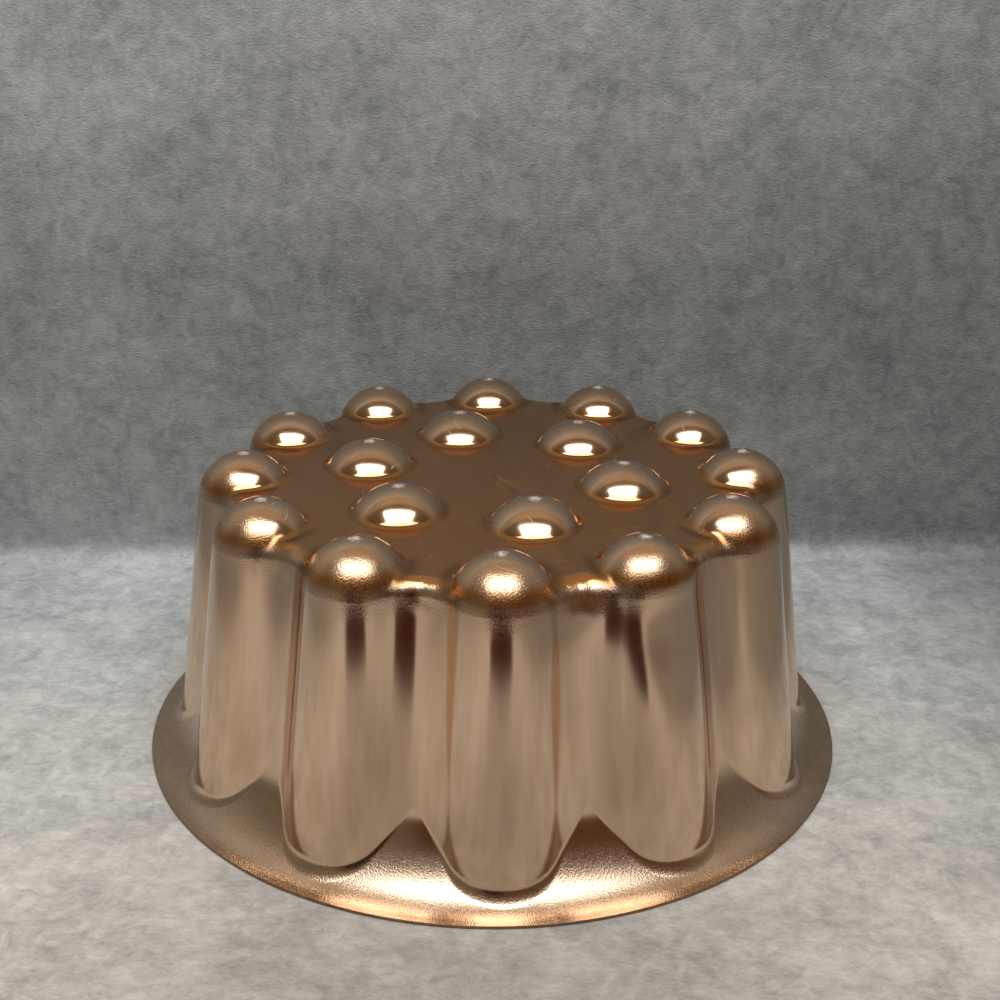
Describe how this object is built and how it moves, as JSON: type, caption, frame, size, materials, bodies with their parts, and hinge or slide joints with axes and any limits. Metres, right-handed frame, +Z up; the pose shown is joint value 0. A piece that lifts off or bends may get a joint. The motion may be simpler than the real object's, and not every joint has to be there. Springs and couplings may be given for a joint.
{
  "type": "jelly mould",
  "caption": "Fluted jelly mould pressed from copper-coloured sheet aluminium, with a dome on each flute, a ring of domes on its flat deck and a wide round rim.",
  "frame": {"origin": "centre of the mouth, on the plane that the rim rests on when the mould stands mouth down", "axes": "+Z up along the mould's axis, from the mouth to the domes; -Y towards the flute that faces the viewer of the picture"},
  "size_m": [0.2, 0.2, 0.0836],
  "materials": {
    "copper_anodised_aluminium": "copper-coloured anodised skin, satin to bright"
  },
  "bodies": {
    "root": {"mould_shell": "copper_anodised_aluminium"}
  },
  "joints": []
}
